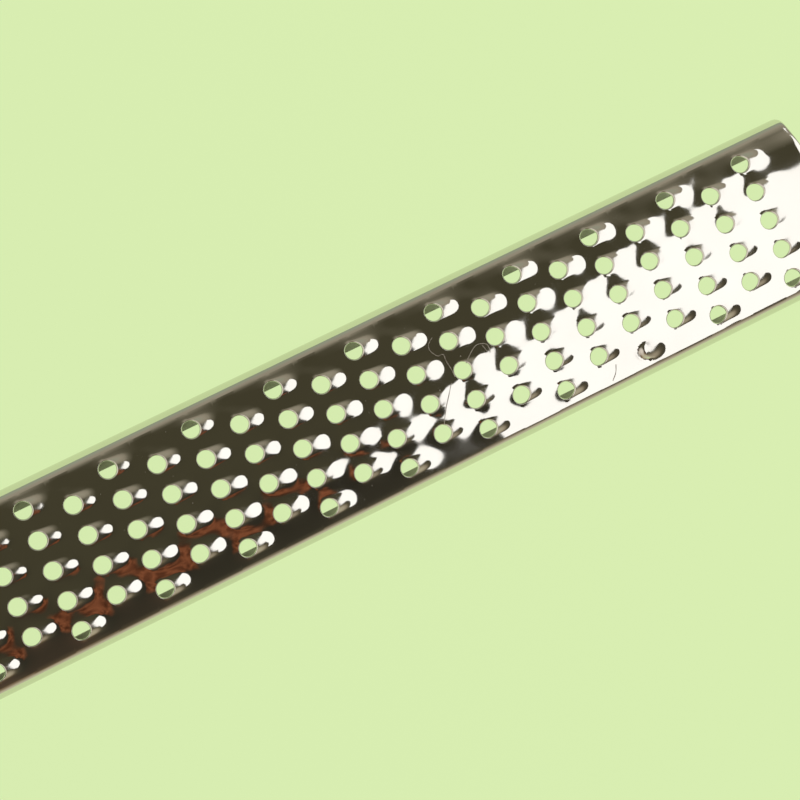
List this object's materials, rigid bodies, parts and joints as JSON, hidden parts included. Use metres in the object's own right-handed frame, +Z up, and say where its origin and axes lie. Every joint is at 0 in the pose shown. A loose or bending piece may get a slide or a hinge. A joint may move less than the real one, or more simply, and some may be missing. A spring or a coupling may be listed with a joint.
{
  "type": "vegetable grater",
  "caption": "Hand-held rasp grater: a folded stainless strip with staggered drawn teeth and round holes on a plain moulded grip.",
  "frame": {"origin": "centre of the footprint, on the surface that the grater lies on", "axes": "+X along the blade to its tip, +Y across the blade, +Z up, out of the toothed face"},
  "size_m": [0.3258, 0.039, 0.018],
  "materials": {
    "polished_steel": "mirror-polished stainless steel with faint scratches",
    "grip_plastic": "fine matt moulded grain"
  },
  "bodies": {
    "root": {"blade": "polished_steel", "handle": "grip_plastic"}
  },
  "joints": []
}
